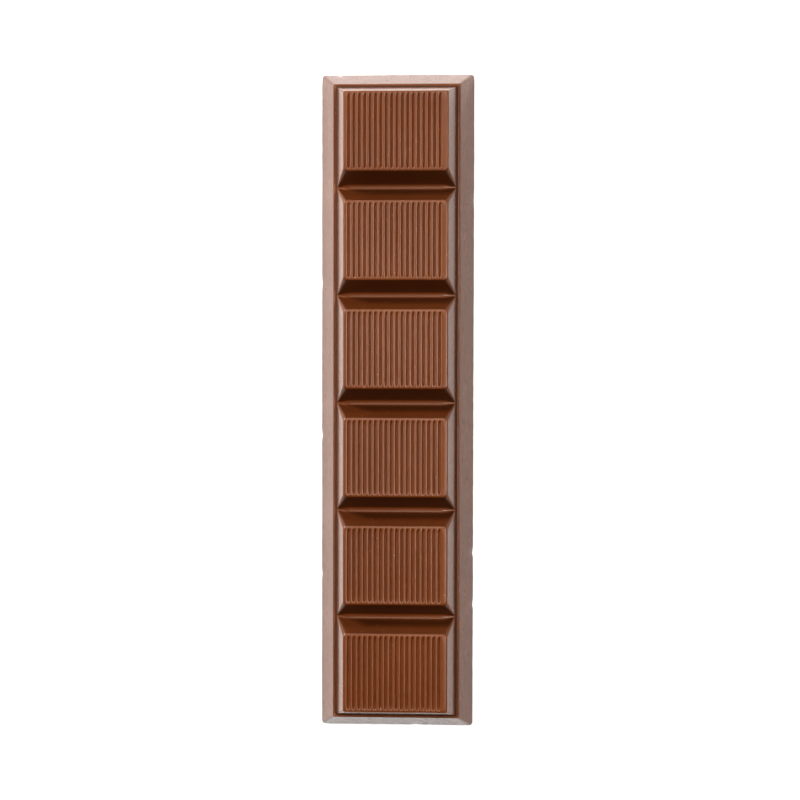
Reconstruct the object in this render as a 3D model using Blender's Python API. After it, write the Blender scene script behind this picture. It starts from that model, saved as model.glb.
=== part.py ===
"""Moulded chocolate bar of six blocks, one solid piece lying on its flat back.

A slab with sloping walls ends in a narrow rim. Inside the rim a ledge leans up to the feet of six
blocks, which wide V-grooves part from each other down to the same height. Each block's top carries
fine ribs along the bar, a little nearer to its left side. The length runs along Y, and the origin
is under the middle of the flat back.
"""
import math

import bmesh
import bpy

MM = 0.001

# Slab
BAR_LENGTH = 123.8 * MM
BAR_WIDTH = 28.9 * MM
RIM_HEIGHT = 5.3 * MM
WALL_RUN = 2.57 * MM
RIM_BREADTH = 0.36 * MM
RIM_CORNER_RADIUS = 0.4 * MM

# Blocks
BLOCK_COUNT = 6
BLOCK_PITCH = 20.0 * MM
BLOCK_TOP_HEIGHT = 9.9 * MM
BLOCK_TOP_LENGTH = 14.5 * MM
BLOCK_TOP_WIDTH = 19.22 * MM
BLOCK_SIDE_RUN = 1.43 * MM
BLOCK_END_RUN = 1.33 * MM
TOP_CORNER_RADIUS = 0.9 * MM
FOOT_CORNER_RADIUS = 0.4 * MM
TOP_EDGE_ROUNDING = 0.25 * MM
CORNER_STEPS = 4

# Ledge round the blocks, and V-grooves between them
LEDGE_HEIGHT = 5.8 * MM
GROOVE_FLOOR = 0.38 * MM

# Ribs
RIB_PITCH = 0.987 * MM
RIB_GROOVE_COUNT = 18
RIB_SHIFT = -0.25 * MM
RIB_GROOVE_WIDTH = 0.72 * MM
RIB_GROOVE_DEPTH = 0.36 * MM
RIB_GROOVE_FLOOR = 0.24 * MM
RIB_GROOVE_TAPER = 0.7 * MM
RIB_END_LAND = 0.42 * MM

# Milk chocolate
COLOUR = (0.26, 0.092, 0.04, 1.0)
ROUGHNESS = 0.32
METALLIC = 0.0


def clear_scene():
    """Remove every object of the scene that is open."""
    for old in list(bpy.data.objects):
        bpy.data.objects.remove(old, do_unlink=True)


def rounded_rectangle(half_x, low_y, high_y, radius):
    """Return the (x, y) points of a rounded rectangle, anticlockwise from the right-hand side."""
    corners = ((half_x, high_y, 0), (-half_x, high_y, 1), (-half_x, low_y, 2), (half_x, low_y, 3))
    points = []
    for corner_x, corner_y, quarter in corners:
        centre_x = corner_x - math.copysign(radius, corner_x)
        centre_y = corner_y - (radius if corner_y == high_y else -radius)
        for step in range(CORNER_STEPS + 1):
            angle = (quarter + step / CORNER_STEPS) * math.pi / 2
            points.append((centre_x + radius * math.cos(angle), centre_y + radius * math.sin(angle)))
    return points


def ledge_breadth():
    """Return the breadth of the ledge between the rim and a block's side."""
    rim_inner = BAR_WIDTH / 2 - WALL_RUN - RIM_BREADTH
    return rim_inner - BLOCK_TOP_WIDTH / 2 - BLOCK_SIDE_RUN


def groove_corner(corner_x, corner_y, quarter):
    """Return a block's square corner in a groove: along the rim's inner edge, then along the groove."""
    along_rim = GROOVE_FLOOR / 2 + FOOT_CORNER_RADIUS
    along_groove = ledge_breadth() + FOOT_CORNER_RADIUS
    inward_x = -math.copysign(1.0, corner_x)
    inward_y = -1.0 if quarter < 2 else 1.0
    points = []
    for step in range(CORNER_STEPS + 1):
        way = 2 * step / CORNER_STEPS - 1
        if way > 0:
            points.append((corner_x + inward_x * way * along_groove, corner_y, LEDGE_HEIGHT))
        else:
            points.append((corner_x, corner_y - inward_y * way * along_rim, RIM_HEIGHT))
    return points if quarter in (0, 2) else points[::-1]


def block_rings(index):
    """Return the rings of one block: its share of the rim and grooves, its foot, and its top."""
    middle = (index - (BLOCK_COUNT - 1) / 2) * BLOCK_PITCH
    first = index == 0
    last = index == BLOCK_COUNT - 1
    rim_half_x = BAR_WIDTH / 2 - WALL_RUN - RIM_BREADTH
    rim_half_y = BAR_LENGTH / 2 - WALL_RUN - RIM_BREADTH
    groove_run = (BLOCK_PITCH - GROOVE_FLOOR - BLOCK_TOP_LENGTH) / 2
    low_run = BLOCK_END_RUN if first else groove_run
    high_run = BLOCK_END_RUN if last else groove_run

    low_y = -rim_half_y if first else middle - BLOCK_PITCH / 2
    high_y = rim_half_y if last else middle + BLOCK_PITCH / 2
    outline = rounded_rectangle(rim_half_x, low_y, high_y, RIM_CORNER_RADIUS)
    share = [(x, y, RIM_HEIGHT) for x, y in outline]
    per_corner = CORNER_STEPS + 1
    for quarter, side in enumerate((1, -1, -1, 1)):
        at_high = quarter < 2
        if not (last if at_high else first):
            corner = groove_corner(side * rim_half_x, high_y if at_high else low_y, quarter)
            share[quarter * per_corner:(quarter + 1) * per_corner] = corner

    def ring(spread, height, radius):
        """Return a ring that lies on the block's four slopes, or inside its top where spread < 0."""
        low = middle - BLOCK_TOP_LENGTH / 2 - spread * (low_run if spread > 0 else 1.0)
        high = middle + BLOCK_TOP_LENGTH / 2 + spread * (high_run if spread > 0 else 1.0)
        half_x = BLOCK_TOP_WIDTH / 2 + spread * (BLOCK_SIDE_RUN if spread > 0 else 1.0)
        return [(x, y, height) for x, y in rounded_rectangle(half_x, low, high, radius)]

    shoulder_share = TOP_EDGE_ROUNDING / (BLOCK_TOP_HEIGHT - LEDGE_HEIGHT)
    foot = ring(1.0, LEDGE_HEIGHT, FOOT_CORNER_RADIUS)
    shoulder = ring(shoulder_share, BLOCK_TOP_HEIGHT - TOP_EDGE_ROUNDING, TOP_CORNER_RADIUS)
    top = ring(-TOP_EDGE_ROUNDING, BLOCK_TOP_HEIGHT, TOP_CORNER_RADIUS - TOP_EDGE_ROUNDING)
    return [share, foot, shoulder, top]


def add_block(mesh, index):
    """Skin the rings of one block, and close its top with one flat face."""
    loops = [[mesh.verts.new(point) for point in ring] for ring in block_rings(index)]
    for outer, inner in zip(loops, loops[1:]):
        for place in range(len(outer)):
            after = (place + 1) % len(outer)
            mesh.faces.new((outer[place], outer[after], inner[after], inner[place]))
    mesh.faces.new(loops[-1])


def extrude_outline(mesh, edges, stretch_x, stretch_y, drop):
    """Extrude the open outline outwards and down, and return its new edges."""
    grown = bmesh.ops.extrude_edge_only(mesh, edges=edges)["geom"]
    corners = [item for item in grown if isinstance(item, bmesh.types.BMVert)]
    bmesh.ops.scale(mesh, vec=(stretch_x, stretch_y, 1.0), verts=corners)
    bmesh.ops.translate(mesh, vec=(0.0, 0.0, -drop), verts=corners)
    return [item for item in grown if isinstance(item, bmesh.types.BMEdge)
            and item.verts[0] in corners and item.verts[1] in corners]


def build_body():
    """Make the bar without its ribs: six blocks side by side, then the rim, the walls and the back."""
    mesh = bmesh.new()
    for index in range(BLOCK_COUNT):
        add_block(mesh, index)
    bmesh.ops.remove_doubles(mesh, verts=mesh.verts, dist=0.001 * MM)

    rim_outer_x = BAR_WIDTH / 2 - WALL_RUN
    rim_outer_y = BAR_LENGTH / 2 - WALL_RUN
    outline = [edge for edge in mesh.edges if edge.is_boundary]
    outline = extrude_outline(mesh, outline, rim_outer_x / (rim_outer_x - RIM_BREADTH),
                              rim_outer_y / (rim_outer_y - RIM_BREADTH), 0.0)
    outline = extrude_outline(mesh, outline, BAR_WIDTH / 2 / rim_outer_x,
                              BAR_LENGTH / 2 / rim_outer_y, RIM_HEIGHT)
    bmesh.ops.holes_fill(mesh, edges=outline, sides=len(outline))
    bmesh.ops.recalc_face_normals(mesh, faces=mesh.faces)

    data = bpy.data.meshes.new("chocolate_bar")
    mesh.to_mesh(data)
    mesh.free()
    body = bpy.data.objects.new("chocolate_bar", data)
    bpy.context.scene.collection.objects.link(body)
    return body


def groove_section(mesh, y, scale, rise):
    """Add one cross-section of a rib groove's cutter, from its left lip round the bottom."""
    half = RIB_GROOVE_WIDTH / 2
    floor_half = RIB_GROOVE_FLOOR / 2
    knee = RIB_GROOVE_DEPTH * 0.75
    lip = half + (half - floor_half) * rise / knee
    profile = ((-lip, rise), (-floor_half, -knee * scale), (0.0, -RIB_GROOVE_DEPTH * scale),
               (floor_half, -knee * scale), (lip, rise))
    return [mesh.verts.new((x * scale, y, BLOCK_TOP_HEIGHT + z)) for x, z in profile]


def build_rib_cutter():
    """Make one boat-shaped cutter, and repeat it across a block and along the bar."""
    half_length = BLOCK_TOP_LENGTH / 2 - RIB_END_LAND
    rise = 0.1 * MM
    stations = ((-half_length, 0.3), (-half_length + RIB_GROOVE_TAPER, 1.0),
                (half_length - RIB_GROOVE_TAPER, 1.0), (half_length, 0.3))
    mesh = bmesh.new()
    sections = [groove_section(mesh, y, scale, rise) for y, scale in stations]
    for near, far in zip(sections, sections[1:]):
        for place in range(len(near)):
            after = (place + 1) % len(near)
            mesh.faces.new((near[place], near[after], far[after], far[place]))
    mesh.faces.new(sections[0])
    mesh.faces.new(sections[-1])
    bmesh.ops.recalc_face_normals(mesh, faces=mesh.faces)

    data = bpy.data.meshes.new("rib_groove_cutter")
    mesh.to_mesh(data)
    mesh.free()
    cutter = bpy.data.objects.new("rib_groove_cutter", data)
    bpy.context.scene.collection.objects.link(cutter)
    cutter.location.x = RIB_SHIFT - (RIB_GROOVE_COUNT - 1) / 2 * RIB_PITCH
    cutter.location.y = -(BLOCK_COUNT - 1) / 2 * BLOCK_PITCH
    for name, count, step in (("across", RIB_GROOVE_COUNT, (RIB_PITCH, 0.0, 0.0)),
                              ("along", BLOCK_COUNT, (0.0, BLOCK_PITCH, 0.0))):
        array = cutter.modifiers.new(name, "ARRAY")
        array.count = count
        array.use_relative_offset = False
        array.use_constant_offset = True
        array.constant_offset_displace = step
    cutter.hide_render = True
    cutter.display_type = "WIRE"
    return cutter


def milk_chocolate():
    """Return the brown, slightly glossy finish of moulded milk chocolate."""
    material = bpy.data.materials.new("milk_chocolate")
    material.use_nodes = True
    shader = material.node_tree.nodes["Principled BSDF"]
    shader.inputs["Base Color"].default_value = COLOUR
    shader.inputs["Roughness"].default_value = ROUGHNESS
    shader.inputs["Metallic"].default_value = METALLIC
    return material


clear_scene()
bar = build_body()
ribs = bar.modifiers.new("rib_grooves", "BOOLEAN")
ribs.operation = "DIFFERENCE"
ribs.solver = "EXACT"
ribs.object = build_rib_cutter()
bar.data.materials.append(milk_chocolate())
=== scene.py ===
"""A moulded milk chocolate bar: the fine surface of its one solid piece, on a white table in soft light."""
import math

import bmesh
import bpy
import numpy as np
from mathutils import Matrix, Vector, noise


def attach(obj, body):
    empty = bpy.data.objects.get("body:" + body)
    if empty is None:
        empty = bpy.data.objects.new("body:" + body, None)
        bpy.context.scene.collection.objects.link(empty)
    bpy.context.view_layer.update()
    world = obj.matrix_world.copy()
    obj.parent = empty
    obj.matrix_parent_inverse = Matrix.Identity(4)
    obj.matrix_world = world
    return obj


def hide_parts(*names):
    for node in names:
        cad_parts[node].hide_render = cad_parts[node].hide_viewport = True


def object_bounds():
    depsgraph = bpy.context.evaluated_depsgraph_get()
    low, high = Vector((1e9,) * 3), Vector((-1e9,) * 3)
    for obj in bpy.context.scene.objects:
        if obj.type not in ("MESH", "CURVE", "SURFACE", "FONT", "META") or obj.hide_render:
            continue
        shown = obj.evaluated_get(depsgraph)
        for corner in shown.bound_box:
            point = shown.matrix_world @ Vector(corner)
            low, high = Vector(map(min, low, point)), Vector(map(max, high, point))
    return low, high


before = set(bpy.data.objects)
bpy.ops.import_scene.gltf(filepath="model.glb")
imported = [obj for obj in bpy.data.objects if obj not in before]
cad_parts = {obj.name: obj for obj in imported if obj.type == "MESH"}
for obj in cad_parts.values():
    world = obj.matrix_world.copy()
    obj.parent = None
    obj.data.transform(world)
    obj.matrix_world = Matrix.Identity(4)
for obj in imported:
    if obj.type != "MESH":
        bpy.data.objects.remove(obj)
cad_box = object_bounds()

# The six blocks.
# Each block is a steep-sided pyramid with a cut-off top, cast in one with the slab under it. The mould
# is milled, so the slopes are flat, the top edges softly rounded, and the feet run out in a hollow
# fillet that dies out towards the corners.
MM = 0.001

block_count = 6
block_pitch = 20.0
block_half_length = 7.25
block_half_width = 9.61
foot_height = 5.8
top_height = cad_box[1].z / MM
block_rise = top_height - foot_height
side_run = 1.43
end_run = 1.33
groove_half_floor = 0.19
groove_run = block_pitch / 2 - groove_half_floor - block_half_length

side_edge_radius = 0.4
dome_start = 6.6
dome_radius = 2.4
dome_angle = math.radians(14)
groove_corner_radius = 0.7
end_corner_radius = 0.4
foot_corner_radius = 0.22

rim_height = 5.3
rim_breadth = 0.36
wall_run = 2.57
bar_half_width = cad_box[1].x / MM
bar_half_length = cad_box[1].y / MM
rim_inner_x = bar_half_width - wall_run - rim_breadth
rim_inner_y = bar_half_length - wall_run - rim_breadth
ledge_fall = foot_height - rim_height + 0.06
ledge_tilt = math.atan2(ledge_fall, rim_inner_x - block_half_width - side_run)

fillets = {"side": 0.18, "end": 0.16}
corner_fillet = 0.08
groove_angle = math.atan2(block_rise, groove_run)
apex_depth = groove_half_floor * math.tan(groove_angle)
sharp_groove_radius = apex_depth / (1 / math.cos(groove_angle) - 1)
groove_radius = 0.85
groove_foot_angle = 0.12
groove_floor_rise = groove_radius * (1 / math.cos(groove_angle) - 1) - apex_depth
fillet_fade = 2.2  # how far from a corner the fillets reach their full radius

rib_pitch = 0.987
rib_valleys = 18
rib_shift = -0.22
cell_steps = 12
cell_rows = 30
panel_half_length = 7.02
panel_left = rib_shift - rib_valleys / 2 * rib_pitch
panel_right = rib_shift + rib_valleys / 2 * rib_pitch

side_steps = cell_rows
end_steps = rib_valleys * 4
corner_steps = 6
corner_reach_y = 0.5
corner_reach_x = 0.6


def blend(low, high, share):
    return low + (high - low) * share


def ease(share):
    share = min(1.0, max(0.0, share))
    return share * share * (3 - 2 * share)


def dome_drop(y):
    """How far a block's top has sunk at y from the block's middle: its two ends are slightly domed."""
    reach = min(max(abs(y) - dome_start, 0.0), dome_radius * math.sin(dome_angle))
    return dome_radius - math.sqrt(dome_radius ** 2 - reach ** 2)


def slope_station(level, share, kind, along):
    """The outward offset and the height of one ring of a slope: its rounding, its face or its fillet."""
    run = {"side": side_run, "groove": groove_run, "end": end_run}[kind]
    angle = math.atan2(block_rise, run)
    fade = ease(along / fillet_fade)
    if kind == "groove":
        fillet, foot_angle = blend(sharp_groove_radius, groove_radius, fade), groove_foot_angle
    else:
        fillet, foot_angle = blend(corner_fillet, fillets[kind], fade), ledge_tilt * fade
    if kind == "side":
        start_angle, radius, sunk = 0.0, side_edge_radius, 0.0
        start = -radius * math.tan(angle / 2)
    else:
        start_angle = dome_angle
        sunk = dome_radius * (1 - math.cos(dome_angle))
        start = dome_start + dome_radius * math.sin(dome_angle) - block_half_length
        reach = (math.cos(dome_angle) - math.cos(angle)) / math.tan(angle)
        radius = (sunk / math.tan(angle) - start) / (math.sin(angle) - math.sin(dome_angle) - reach)

    def rounding(turn):
        offset = start + radius * (math.sin(turn) - math.sin(start_angle))
        return offset, block_rise - sunk - radius * (math.cos(start_angle) - math.cos(turn))

    def hollow(turn):
        if kind == "groove":
            centre = fillet / math.cos(angle) - apex_depth
            return run + groove_half_floor - fillet * math.sin(turn), centre - fillet * math.cos(turn)
        reach = fillet * math.tan((angle - foot_angle) / 2)
        offset = run - reach * math.cos(angle) + fillet * (math.sin(angle) - math.sin(turn))
        return offset, reach * math.sin(angle) + fillet * (math.cos(angle) - math.cos(turn))

    if level == "edge":
        return rounding(blend(start_angle, angle, share))
    if level == "foot":
        return hollow(blend(foot_angle, angle, 1 - share))
    upper, lower = rounding(angle), hollow(angle)
    return blend(upper[0], lower[0], share), blend(upper[1], lower[1], share)


def ring_of_block(level, share, low_kind, high_kind):
    """One closed ring of (x, y, height) round a block, anticlockwise from its lower right corner."""
    kinds = {1: high_kind, -1: low_kind}
    tops = {"groove": groove_corner_radius, "end": end_corner_radius}
    reach, radius = {}, {}
    corner_side = slope_station(level, share, "side", 0.0)
    for way, kind in kinds.items():
        corner_end = slope_station(level, share, kind, 0.0)
        part = (corner_side[1] + corner_end[1]) / 2 / block_rise
        radius[way] = blend(foot_corner_radius, tops[kind], part) + min(0.0, corner_side[0])
        reach[way] = block_half_length + corner_end[0]
    half_width = block_half_width + corner_side[0]

    def side_point(turn, part):
        low, high = -reach[-1] + radius[-1], reach[1] - radius[1]
        y = blend(low, high, part)
        offset, height = slope_station(level, share, "side", min(y - low, high - y))
        if level == "edge":
            height -= dome_drop(y) * (1 - share)
        return turn * (block_half_width + offset), y, height

    def end_point(turn, part):
        half = half_width - radius[turn]
        x = blend(-half, half, part)
        offset, height = slope_station(level, share, kinds[turn], half - abs(x))
        return x, turn * (block_half_length + offset), height

    def corner(turn_x, turn_y, part):
        side = side_point(turn_x, 1.0 if turn_y > 0 else 0.0)
        end = end_point(turn_y, 1.0 if turn_x > 0 else 0.0)
        angle = part * math.pi / 2
        curve = radius[turn_y]
        x = turn_x * (half_width - curve + curve * math.cos(angle))
        y = turn_y * (reach[turn_y] - curve + curve * math.sin(angle))
        return x, y, blend(side[2], end[2], ease(part))

    inside = [step / corner_steps for step in range(1, corner_steps)]
    sides = [step / side_steps for step in range(side_steps + 1)]
    ends = [step / end_steps for step in range(end_steps + 1)]
    points = [side_point(1, part) for part in sides]
    points += [corner(1, 1, part) for part in inside]
    points += [end_point(1, 1 - part) for part in ends]
    points += [corner(-1, 1, 1 - part) for part in inside]
    points += [side_point(-1, 1 - part) for part in sides]
    points += [corner(-1, -1, part) for part in inside]
    points += [end_point(-1, part) for part in ends]
    points += [corner(1, -1, 1 - part) for part in inside]
    return points


def share_of_block(low_kind, high_kind):
    """The outline of the ledge and the half grooves that belong to a block, vertex for vertex."""
    kinds = {1: high_kind, -1: low_kind}
    to_rim = rim_inner_y - (block_count - 1) / 2 * block_pitch
    reach = {way: block_pitch / 2 if kind == "groove" else to_rim for way, kind in kinds.items()}
    half = corner_steps / 2

    def end_height(turn_y, x):
        if kinds[turn_y] == "end":
            return -ledge_fall
        to_rim = ease((abs(x) - rim_inner_x + corner_reach_x) / corner_reach_x)
        corner_x = block_half_width + side_run - foot_corner_radius
        return groove_floor_rise * ease((corner_x - abs(x)) / fillet_fade) - ledge_fall * to_rim

    def corner(turn_x, turn_y, step):
        if step <= half:
            y = reach[turn_y] - corner_reach_y * (1 - step / half)
            return turn_x * rim_inner_x, turn_y * y, -ledge_fall
        x = turn_x * (rim_inner_x - corner_reach_x * (step / half - 1))
        return x, turn_y * reach[turn_y], end_height(turn_y, x)

    inside = range(1, corner_steps)
    sides = [blend(-reach[-1] + corner_reach_y, reach[1] - corner_reach_y, step / side_steps)
             for step in range(side_steps + 1)]
    end_half = rim_inner_x - corner_reach_x
    ends = [end_half * (2 * step / end_steps - 1) for step in range(end_steps + 1)]
    points = [(rim_inner_x, y, -ledge_fall) for y in sides]
    points += [corner(1, 1, step) for step in inside]
    points += [(x, reach[1], end_height(1, x)) for x in reversed(ends)]
    points += [corner(-1, 1, corner_steps - step) for step in inside]
    points += [(-rim_inner_x, y, -ledge_fall) for y in reversed(sides)]
    points += [corner(-1, -1, step) for step in inside]
    points += [(x, -reach[-1], end_height(-1, x)) for x in ends]
    points += [corner(1, -1, corner_steps - step) for step in inside]
    return points


def cell_stations():
    """Places across one rib valley, closer together at its bottom, and rows along it, closer at its ends."""
    across = np.linspace(-1, 1, cell_steps + 1)
    across = (0.75 * across + 0.25 * across ** 3) * rib_pitch / 2
    along = np.linspace(-1, 1, cell_rows + 1)
    along = np.sin(along * math.pi / 2) * 0.85 + along * 0.15
    return across, along * panel_half_length


round_steps = 5
levels = [("edge", part / round_steps) for part in range(round_steps + 1)]
levels += [("face", part) for part in (0.025, 0.33, 0.66, 0.975)]
levels += [("foot", part / round_steps) for part in range(round_steps + 1)]

shell = bmesh.new()
for index in range(block_count):
    middle = (index - (block_count - 1) / 2) * block_pitch
    low_kind = "end" if index == 0 else "groove"
    high_kind = "end" if index == block_count - 1 else "groove"
    rings = [ring_of_block(level, share, low_kind, high_kind) for level, share in levels]
    rings.append(share_of_block(low_kind, high_kind))
    loops = [[shell.verts.new((x, y + middle, foot_height + height)) for x, y, height in ring]
             for ring in rings]
    for inner, outer in zip(loops, loops[1:]):
        for place in range(len(inner)):
            after = (place + 1) % len(inner)
            shell.faces.new((inner[place], outer[place], outer[after], inner[after]))

    # The narrow plain land between the top edge's rounding and the ribs.
    across, along = cell_stations()
    fine_x = [rib_shift + (cell - (rib_valleys - 1) / 2) * rib_pitch + x
              for cell in range(rib_valleys) for x in across[:-1]] + [panel_right]
    land_height = [top_height - dome_drop(y) for y in along]
    right = [shell.verts.new((panel_right, y + middle, z)) for y, z in zip(along, land_height)]
    left = [shell.verts.new((panel_left, y + middle, z)) for y, z in zip(along, land_height)][::-1]
    top = [right[-1]] + [shell.verts.new((x, middle + panel_half_length, land_height[-1]))
                         for x in fine_x[-2:0:-1]] + [left[0]]
    bottom = [left[-1]] + [shell.verts.new((x, middle - panel_half_length, land_height[0]))
                           for x in fine_x[1:-1]] + [right[0]]
    first = loops[0]
    start = 0
    gap = cell_steps // 4
    for edge, steps, stride in ((right, side_steps, 1), (top, end_steps, gap),
                                (left, side_steps, 1), (bottom, end_steps, gap)):
        for step in range(steps):
            inner = edge[step * stride:(step + 1) * stride + 1]
            outer = (first[start + step], first[start + step + 1])
            shell.faces.new((*inner[::-1], *outer))
        turn = [first[(start + steps + step) % len(first)] for step in range(corner_steps + 1)]
        shell.faces.new((edge[-1], *turn))
        start += steps + corner_steps

bmesh.ops.remove_doubles(shell, verts=shell.verts, dist=0.001)


# The rim, the walls and the back.
# The slab's narrow rim carries the cast's parting line. The walls lean outwards down to the flat back,
# whose edge is left a bit uneven, nicked and rounded at its corners, where the mould was scraped.
rim_profile = [(0.03, 0.012), (0.06, 0.032), (0.1, 0.05), (0.14, 0.06), (0.19, 0.06), (0.24, 0.052),
               (0.29, 0.028), (0.33, -0.012), (0.365, -0.07)]
wall_levels = (0.03, 0.1, 0.25, 0.4, 0.55, 0.7, 0.85, 0.95, 0.985)
base_round = 0.12
rim_corner = 0.4
base_corner = 0.75
nick_places = [(-14.45, -6.4, 0.55, 0.16), (14.45, -28.7, 0.6, 0.2), (14.45, -38.6, 0.5, 0.18),
               (-10.9, 61.9, 0.5, 0.14), (14.45, 38.2, 0.8, 0.08), (-14.45, 22.5, 0.9, 0.1),
               (-14.45, -33.0, 0.6, 0.1), (3.6, -61.9, 0.9, 0.1)]


def grow_outline(mesh, edges, old_offset, new_offset, height):
    """Extrude the slab's open outline to another offset and height, and return its new edges."""
    grown = bmesh.ops.extrude_edge_only(mesh, edges=edges)["geom"]
    moved = [item for item in grown if isinstance(item, bmesh.types.BMVert)]
    stretch = ((rim_inner_x + new_offset) / (rim_inner_x + old_offset),
               (rim_inner_y + new_offset) / (rim_inner_y + old_offset), 1.0)
    bmesh.ops.scale(mesh, vec=stretch, verts=moved)
    for vertex in moved:
        vertex.co.z = height
    inside = set(moved)
    return [item for item in grown if isinstance(item, bmesh.types.BMEdge)
            and item.verts[0] in inside and item.verts[1] in inside]


def wear(point, half_x, half_y, depth):
    """Round the slab's corners and make its outline uneven; depth is 0 at the rim and 1 at the base."""
    radius = blend(rim_corner, base_corner, depth)
    over_x = abs(point.x) - (half_x - radius)
    over_y = abs(point.y) - (half_y - radius)
    x, y = point.x, point.y
    if over_x > 0 and over_y > 0:
        size = max(over_x, over_y) / math.hypot(over_x, over_y)
        x = math.copysign(half_x - radius + over_x * size, x)
        y = math.copysign(half_y - radius + over_y * size, y)
    slow = noise.noise(Vector((x * 0.11, y * 0.11, 3.7)))
    quick = noise.noise(Vector((x * 0.55, y * 0.55, 8.1 + point.z * 0.2)))
    inward = blend(0.01, 0.035, depth) * (0.5 + slow) + blend(0.005, 0.03, depth) * (0.5 + quick)
    for nick_x, nick_y, breadth, nick_depth in nick_places:
        apart = math.hypot(x - nick_x, y - nick_y) / breadth
        inward += nick_depth * math.exp(-apart * apart) * depth ** 3
    on_side = over_x > 0 and abs(point.x) / half_x > 0.999 or over_x > over_y
    if on_side:
        x -= math.copysign(inward, x)
    else:
        y -= math.copysign(inward, y)
    return x, y


outline = [edge for edge in shell.edges
           if edge.is_boundary and edge.verts[0].co.z < foot_height + 1]
offset = 0.0
wall_top = rim_profile[-1]
rim_base = foot_height - ledge_fall
stations = [(out, rim_base + rise) for out, rise in rim_profile]
wall_foot = (rim_breadth + wall_run - 0.03, base_round)
for part in wall_levels:
    stations.append((blend(wall_top[0], wall_foot[0], part),
                     blend(rim_base + wall_top[1], wall_foot[1], part)))
stations += [wall_foot, (rim_breadth + wall_run, 0.05), (rim_breadth + wall_run - 0.015, 0.012),
             (rim_breadth + wall_run - 0.06, 0.0), (rim_breadth + wall_run - 0.3, 0.0)]
for new_offset, height in stations:
    outline = grow_outline(shell, outline, offset, new_offset, height)
    offset = new_offset
back = bmesh.ops.holes_fill(shell, edges=outline, sides=len(outline))["faces"]
for vertex in shell.verts:
    point = vertex.co
    grown_x, grown_y = abs(point.x) - rim_inner_x, abs(point.y) - rim_inner_y
    out = max(grown_x, grown_y)
    if out > -1e-4 and point.z < foot_height:
        depth = min(1.0, max(0.0, (rim_height - point.z) / rim_height))
        x, y = wear(point, rim_inner_x + out, rim_inner_y + out, depth)
        vertex.co.x, vertex.co.y = x, y
for face in shell.faces:
    face.smooth = True
for face in back:
    face.smooth = False
bmesh.ops.recalc_face_normals(shell, faces=shell.faces)
bmesh.ops.scale(shell, vec=(MM, MM, MM), verts=shell.verts)
shell_mesh = bpy.data.meshes.new("bar_without_ribs")
shell.to_mesh(shell_mesh)
shell.free()
bar = bpy.data.objects.new("milk_chocolate_bar", shell_mesh)
bpy.context.scene.collection.objects.link(bar)


# The chocolate.
# Milk chocolate that has set in a polished mould: warm brown with paler clouds, a few pale fat specks,
# a semi-gloss skin with a fine grain, and faint streaks on the walls where it drew off the mould. Painted
# shade darkens the colour of the V-grooves, the ledge, the walls and the steep faces, and the steep faces
# have a thin gloss coat, to come close to the picture.
def add_node(tree, kind, settings=None, inputs=None):
    """Add a node; an input's value may be a plain value, a socket or a sum of sockets."""
    node = tree.nodes.new(kind)
    for name, value in (settings or {}).items():
        setattr(node, name, value)
    for name, value in (inputs or {}).items():
        if isinstance(value, Sum):
            value = value.socket
        if isinstance(value, bpy.types.NodeSocket):
            tree.links.new(value, node.inputs[name])
        else:
            node.inputs[name].default_value = value
    return node


class Sum:
    """A number socket that can be used in plain arithmetic."""

    def __init__(self, socket):
        self.socket = socket

    def math(self, operation, *others, first=None):
        tree = self.socket.id_data
        values = [self] + list(others) if first is None else [first, self]
        node = add_node(tree, "ShaderNodeMath", {"operation": operation}, dict(enumerate(values)))
        return Sum(node.outputs[0])

    def __add__(self, other):
        return self.math("ADD", other)

    def __sub__(self, other):
        return self.math("SUBTRACT", other)

    def __mul__(self, other):
        return self.math("MULTIPLY", other)

    def __truediv__(self, other):
        return self.math("DIVIDE", other)

    def __pow__(self, other):
        return self.math("POWER", other)

    def __rsub__(self, other):
        return self.math("SUBTRACT", first=other)

    def __rtruediv__(self, other):
        return self.math("DIVIDE", first=other)

    __radd__ = __add__
    __rmul__ = __mul__

    def smooth(self, low, high):
        """0 below low, 1 above high, and a soft step between them."""
        node = add_node(self.socket.id_data, "ShaderNodeMapRange", {"interpolation_type": "SMOOTHSTEP"},
                        {"Value": self, "From Min": low, "From Max": high})
        return Sum(node.outputs[0])


chocolate = bpy.data.materials.new("milk_chocolate")
chocolate.use_nodes = True
paint = chocolate.node_tree
skin = paint.nodes["Principled BSDF"]
skin.inputs["IOR"].default_value = 1.47
skin.inputs["Coat Roughness"].default_value = 0.2

texture = add_node(paint, "ShaderNodeTexCoord").outputs
place = add_node(paint, "ShaderNodeVectorMath", {"operation": "SCALE"},
                 {0: texture["Object"], "Scale": 1 / MM}).outputs[0]
parts = add_node(paint, "ShaderNodeSeparateXYZ", inputs={0: place})
height = Sum(parts.outputs["Z"])
cross = Sum(parts.outputs["X"]).math("ABSOLUTE")
length = Sum(parts.outputs["Y"]).math("ABSOLUTE")
lean = add_node(paint, "ShaderNodeSeparateXYZ", inputs={0: texture["Normal"]})
facing = Sum(lean.outputs["Z"])


def clouds(scale, detail, stretch=(1.0, 1.0, 1.0), roughness=0.5):
    """Soft noise from 0 to 1 around 0.5, scale bumps to the millimetre."""
    stretched = add_node(paint, "ShaderNodeVectorMath", {"operation": "MULTIPLY"}, {0: place, 1: stretch})
    return Sum(add_node(paint, "ShaderNodeTexNoise", inputs={
        "Vector": stretched.outputs[0], "Scale": scale, "Detail": detail,
        "Roughness": roughness}).outputs[0])


broad = clouds(0.07, 2.0)
middling = clouds(0.55, 3.0)
grain = clouds(3.2, 3.0, roughness=0.6)
drawn = clouds(1.3, 3.0, (1.0, 0.07, 1.0))

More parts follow.
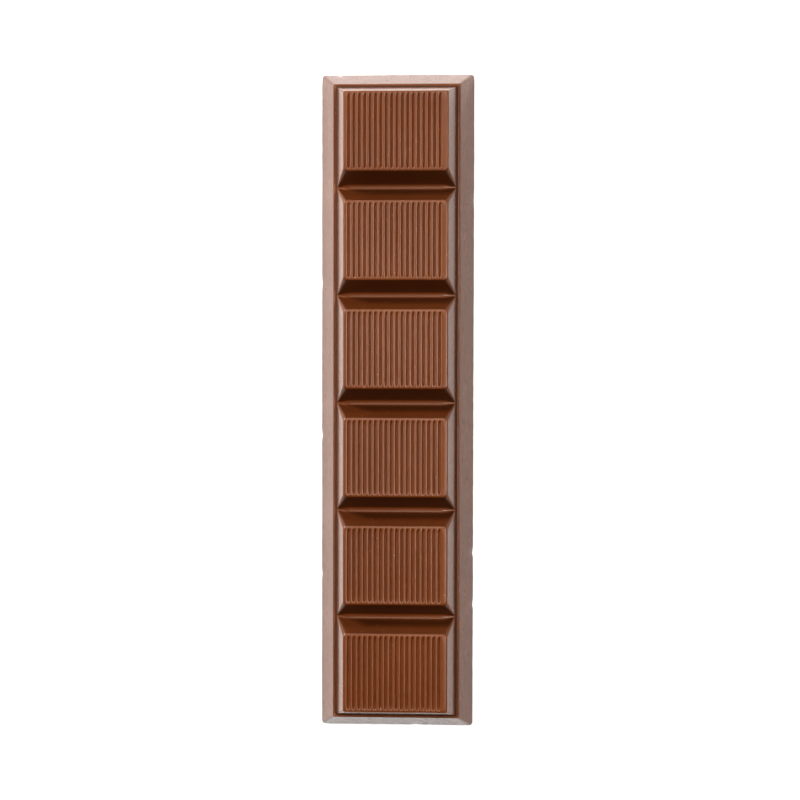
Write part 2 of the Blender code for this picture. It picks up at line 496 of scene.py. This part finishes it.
# Where each kind of face lies, from 0 to 1.
outer_groove = (block_count - 2) / 2 * block_pitch
ledge_edge_x = block_half_width + side_run
ledge_edge_y = (block_count - 1) / 2 * block_pitch + block_half_length + end_run
walls = 1 - height.smooth(rim_height - 0.3, rim_height)
sides = walls * (1 - facing.smooth(0.45, 0.6))
slopes = Sum(lean.outputs["Y"]).math("ABSOLUTE").smooth(0.35, 0.7)
ends = length.smooth(outer_groove + 4, outer_groove + 6)
grooves = slopes * (1 - walls) * (1 - ends)
steep = Sum(lean.outputs["X"]).math("ABSOLUTE").smooth(0.85, 0.92).math("MAXIMUM", slopes * ends)
# The walls and steep faces: they get less roughness and the gloss coat, and also painted shade.
polished_and_shaded = walls.math("MAXIMUM", steep)
beside = cross.smooth(ledge_edge_x - 0.14, ledge_edge_x + 0.06)
beside = beside.math("MAXIMUM", length.smooth(ledge_edge_y - 0.18, ledge_edge_y + 0.02))
above_rim = height.smooth(rim_height, rim_height + 0.06)
above_foot = height.smooth(foot_height, foot_height + 0.25)
ledge = beside * above_rim * (1 - above_foot)

specks_at = add_node(paint, "ShaderNodeTexVoronoi", {"feature": "F1"}, {"Vector": place, "Scale": 0.72})
picked = Sum(add_node(paint, "ShaderNodeSeparateColor", inputs={0: specks_at.outputs["Color"]}).outputs[0])
specks = (1 - Sum(specks_at.outputs["Distance"]).smooth(0.04, 0.1)) * picked.smooth(0.35, 0.4)

dark = (0.137, 0.042, 0.0108, 1.0)
light = (0.166, 0.0545, 0.0148, 1.0)
pale = (0.6, 0.3, 0.14, 1.0)
streak = (0.3, 0.17, 0.12, 1.0)
black = (0.0, 0.0, 0.0, 1.0)
groove_shade, ledge_shade, wall_shade = 0.42, 0.6, 0.2
coat_weight = 0.6
plain_roughness = 0.33


def mix(share, first, second):
    node = add_node(paint, "ShaderNodeMix", {"data_type": "RGBA"}, {0: share, 6: first, 7: second})
    return node.outputs[2]


mottle = ((broad - 0.5) * 1.0 + (middling - 0.5) * 0.4 + (grain - 0.5) * 0.25 + 0.5).smooth(0.0, 1.0)
colour = mix(mottle, dark, light)
colour = mix(specks * 0.45, colour, pale)
# Painted shade: the V-grooves, the ledge, the walls and the steep faces are darkened towards black.
shade = grooves * groove_shade + ledge * ledge_shade + polished_and_shaded * wall_shade
colour = mix(shade, colour, black)
colour = mix(sides * drawn.smooth(0.52, 0.75) * 0.12, colour, streak)
roughness = plain_roughness - polished_and_shaded * 0.07 + ledge * 0.42
roughness += (middling - 0.5) * 0.08 + (grain - 0.5) * 0.06 + sides * (drawn - 0.5) * 0.12
relief = (grain - 0.5) * 0.05 + (middling - 0.5) * 0.2 + sides * (drawn - 0.5) * 0.25 + specks * 0.3
bump = add_node(paint, "ShaderNodeBump", inputs={"Strength": 0.4, "Distance": 0.012 * MM, "Height": relief})
for name, value in (("Base Color", colour), ("Roughness", roughness.socket), ("Normal", bump.outputs[0]),
                    ("Coat Weight", (polished_and_shaded * (1 - ledge) * coat_weight).socket)):
    paint.links.new(value, skin.inputs[name])


# The ribs.
# A ball-nosed cutter milled them side by side in the mould, so they are round bars with sharp valleys
# between them. One valley, from crest to crest, is made here and set out over all six blocks.
crest_radius = 0.38
valley_radius = 0.08
flank_angle = math.radians(55)
valley_end = 6.88
valley_arch = 0.62


def rib_valley_mesh():
    """One valley between two ribs, from crest to crest, with pointed ends that run out in the land."""
    across, along = cell_stations()
    half = rib_pitch / 2
    crest_end = crest_radius * math.sin(flank_angle)
    valley_start = half - valley_radius * math.sin(flank_angle)
    crest_fall = crest_radius * (1 - math.cos(flank_angle))
    flank_fall = (valley_start - crest_end) * math.tan(flank_angle)
    whole_fall = crest_fall + flank_fall + valley_radius * (1 - math.cos(flank_angle))

    def fall(away):
        """How far the surface lies below the crest at a distance from it."""
        if away < crest_end:
            return crest_radius - math.sqrt(crest_radius ** 2 - away ** 2)
        if away < valley_start:
            return crest_fall + (away - crest_end) * math.tan(flank_angle)
        return whole_fall - valley_radius + math.sqrt(valley_radius ** 2 - (half - away) ** 2)

    points = []
    for y in along:
        reach = min(max((abs(y) - (valley_end - valley_arch)) / valley_arch, 0.0), 1.0)
        fade = math.sqrt(1 - reach ** 2)
        for x in across:
            share = min(1.0, abs(x) / half / (0.35 + 0.65 * fade))
            depth = fall(half * (1 - share)) * fade
            points.append((x * MM, y * MM, (top_height - dome_drop(y) - depth) * MM))
    columns = cell_steps + 1
    faces = [(row * columns + column, row * columns + column + 1,
              (row + 1) * columns + column + 1, (row + 1) * columns + column)
             for row in range(cell_rows) for column in range(cell_steps)]
    mesh = bpy.data.meshes.new("rib_valley")
    mesh.from_pydata(points, [], faces)
    mesh.polygons.foreach_set("use_smooth", [True] * len(faces))
    return mesh


valley = bpy.data.objects.new("rib_valley", rib_valley_mesh())
bpy.context.scene.collection.objects.link(valley)

layout = bpy.data.node_groups.new("set_out_ribs", "GeometryNodeTree")
layout.is_modifier = True
for name, kind in (("Bar", "Geometry"), ("Rib valley", "Object"), ("Valleys across", "Int"),
                   ("Rib pitch", "Float"), ("Rib shift", "Float"), ("Blocks", "Int"),
                   ("Block pitch", "Float"), ("Finish", "Material")):
    layout.interface.new_socket(name, in_out="INPUT", socket_type="NodeSocket" + kind)
layout.interface.new_socket("Bar", in_out="OUTPUT", socket_type="NodeSocketGeometry")
given = add_node(layout, "NodeGroupInput").outputs
grid = add_node(layout, "GeometryNodeMeshGrid", inputs={
    "Size X": (Sum(given["Valleys across"]) - 1) * given["Rib pitch"],
    "Size Y": (Sum(given["Blocks"]) - 1) * given["Block pitch"],
    "Vertices X": given["Valleys across"], "Vertices Y": given["Blocks"]})
shift = add_node(layout, "ShaderNodeCombineXYZ", inputs={"X": given["Rib shift"]})
moved = add_node(layout, "GeometryNodeSetPosition", inputs={
    "Geometry": grid.outputs["Mesh"], "Offset": shift.outputs[0]})
info = add_node(layout, "GeometryNodeObjectInfo", inputs={"Object": given["Rib valley"]})
placed = add_node(layout, "GeometryNodeInstanceOnPoints", inputs={
    "Points": moved.outputs["Geometry"], "Instance": info.outputs["Geometry"]})
real = add_node(layout, "GeometryNodeRealizeInstances", inputs={"Geometry": placed.outputs["Instances"]})
joined = add_node(layout, "GeometryNodeJoinGeometry")
layout.links.new(given["Bar"], joined.inputs[0])
layout.links.new(real.outputs[0], joined.inputs[0])
merged = add_node(layout, "GeometryNodeMergeByDistance", inputs={
    "Geometry": joined.outputs[0], "Distance": 0.003 * MM})
finished = add_node(layout, "GeometryNodeSetMaterial", inputs={
    "Geometry": merged.outputs[0], "Material": given["Finish"]})
result = add_node(layout, "NodeGroupOutput", inputs={"Bar": finished.outputs[0]})

modifier = bar.modifiers.new("ribs", "NODES")
modifier.node_group = layout
sockets = {item.name: item.identifier for item in layout.interface.items_tree if item.in_out == "INPUT"}
for name, value in (("Rib valley", valley), ("Valleys across", rib_valleys), ("Rib pitch", rib_pitch * MM),
                    ("Rib shift", rib_shift * MM), ("Blocks", block_count),
                    ("Block pitch", block_pitch * MM), ("Finish", chocolate)):
    modifier[sockets[name]] = value
bar.update_tag()
whole = bpy.data.meshes.new_from_object(bar.evaluated_get(bpy.context.evaluated_depsgraph_get()))
bar.modifiers.clear()
bar.data = whole
whole.materials.clear()
whole.materials.append(chocolate)
bpy.data.objects.remove(valley)

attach(bar, "root")
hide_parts("chocolate_bar")


# The table, the light and the camera.
# A white table under a strong low light at the upper left and weaker ones at the left, above, at the
# top and on the right, all of them round and soft.
table_half = 1.5
table_drop = 1e-5
table_mesh = bpy.data.meshes.new("table")
table_mesh.from_pydata([(-table_half, -table_half, -table_drop), (table_half, -table_half, -table_drop),
                        (table_half, table_half, -table_drop), (-table_half, table_half, -table_drop)],
                       [], [(0, 1, 2, 3)])
table = bpy.data.objects.new("table", table_mesh)
bpy.context.scene.collection.objects.link(table)
white = bpy.data.materials.new("white_table")
white.use_nodes = True
white.node_tree.nodes["Principled BSDF"].inputs["Base Color"].default_value = (0.9, 0.9, 0.9, 1.0)
white.node_tree.nodes["Principled BSDF"].inputs["Roughness"].default_value = 0.8
table_mesh.materials.append(white)

light_distance = 0.75
light_breadth = 0.22
world = bpy.data.worlds.new("room")
world.use_nodes = True
world.node_tree.nodes["Background"].inputs["Color"].default_value = (1.0, 1.0, 1.0, 1.0)
world.node_tree.nodes["Background"].inputs["Strength"].default_value = 0.02
bpy.context.scene.world = world


def soft_light(name, rise, turn, power):
    """Add one round soft light at the same distance from the bar's middle as the others."""
    data = bpy.data.lights.new(name, "AREA")
    data.shape = "DISK"
    data.size = light_breadth
    data.energy = power
    lamp = bpy.data.objects.new(name, data)
    rise, turn = math.radians(rise), math.radians(turn)
    lamp.location = (math.cos(rise) * math.cos(turn), math.cos(rise) * math.sin(turn), math.sin(rise))
    lamp.location *= light_distance
    lamp.rotation_euler = lamp.location.to_track_quat("Z", "Y").to_euler()
    bpy.context.scene.collection.objects.link(lamp)


# Each light's name, height angle, direction (0 on the right, 90 at the top) and power.
lights = [
    ("key", 20, 135, 4.8),
    ("left", 26, 174, 1.7),
    ("high left", 62, 175, 0.25),
    ("high top", 66, 90, 0.9),
    ("low top", 20, 90, 1.1),
    ("high right", 58, 8, 2.1),
    ("overhead", 73, -27, 1.5),
    ("low right", 20, 0, 0.15),
]
for name, rise, turn, power in lights:
    soft_light(name, rise, turn, power)

camera_data = bpy.data.cameras.new("camera")
camera_data.sensor_width = 36.0
camera_data.lens = 69.14
camera_data.clip_start = 0.01
camera = bpy.data.objects.new("camera", camera_data)
camera.location = (12.8 * MM, 9.7 * MM, 292.2 * MM)
camera.rotation_euler = (-0.0319, 0.0423, 0.0018)
bpy.context.scene.collection.objects.link(camera)
bpy.context.scene.camera = camera
bpy.context.scene.view_settings.view_transform = "Standard"
bpy.context.scene.view_settings.look = "High Contrast"
